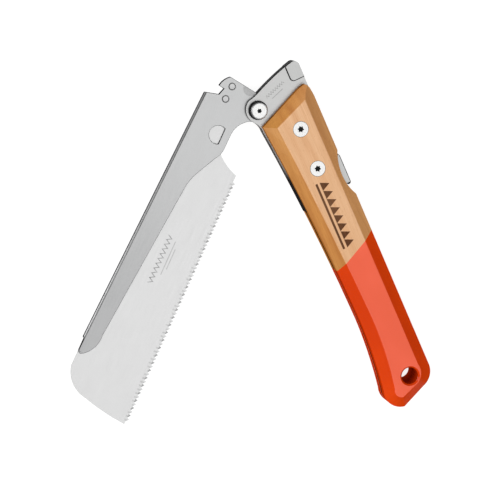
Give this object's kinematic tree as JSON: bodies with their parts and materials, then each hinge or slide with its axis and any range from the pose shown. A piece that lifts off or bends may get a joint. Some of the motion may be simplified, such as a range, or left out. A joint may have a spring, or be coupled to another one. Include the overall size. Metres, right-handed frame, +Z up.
{
  "type": "folding pull saw",
  "caption": "Folding pull saw: a thin toothed blade under a folded steel spine, hinged in a steel bracket on a bevelled wooden handle half dipped in orange, with a rocking lock lever.",
  "frame": {"origin": "middle of the hanging hole in the handle's butt, in the middle plane of the saw", "axes": "+X along the handle towards the butt, +Y across towards the handle's back (the lever's side), +Z up through the thickness, towards the face with the screw heads"},
  "size_m": [0.2125, 0.1863, 0.02],
  "materials": {
    "beech": "clear matt lacquer over straight-grained beech",
    "orange_dip": "glossy orange dipped lacquer",
    "plate_steel": "brushed",
    "spine_steel": "satin, rolled sheet",
    "blade_steel": "fine satin, ground",
    "lever_steel": "satin",
    "screw_steel": "bright nickel plated",
    "dark_steel": "blackened",
    "pin_steel": "turned",
    "bronze": "plain bearing sheet"
  },
  "bodies": {
    "handle": {"handle_wood": "beech", "dip_coating": "orange_dip", "bracket_plate_front": "plate_steel", "bracket_plate_back": "plate_steel", "bracket_spacer": "plate_steel", "closing_stop_pin": "pin_steel", "bracket_rivets": "pin_steel", "lever_pin": "pin_steel", "handle_screws": "screw_steel", "barrel_nuts": "screw_steel", "pivot_sleeve": "pin_steel", "pivot_screw": "screw_steel", "pivot_collar": "dark_steel", "pivot_nut": "screw_steel", "pivot_washer_front": "dark_steel", "pivot_washer_back": "dark_steel"},
    "blade": {"blade_plate": "blade_steel", "spine_sheet": "spine_steel", "tang_rivets": "spine_steel", "thrust_washer_front": "bronze", "thrust_washer_back": "bronze"},
    "lock_lever": {"lever_bar": "lever_steel", "lever_head_front": "lever_steel", "lever_head_back": "lever_steel", "lever_tail_front": "lever_steel", "lever_tail_back": "lever_steel", "lever_rivets": "lever_steel", "lever_friction_washers": "bronze"}
  },
  "joints": [
    {"name": "blade_fold", "type": "hinge", "parent": "handle", "child": "blade", "pos_m": [-0.1735, -0.018, 0], "axis": [0, 0, 1], "range_deg": [-104.25, 50]},
    {"name": "lever_rock", "type": "hinge", "parent": "handle", "child": "lock_lever", "pos_m": [-0.1465, 0.0088, 0], "axis": [0, 0, 1], "range_deg": [0, 6]}
  ]
}
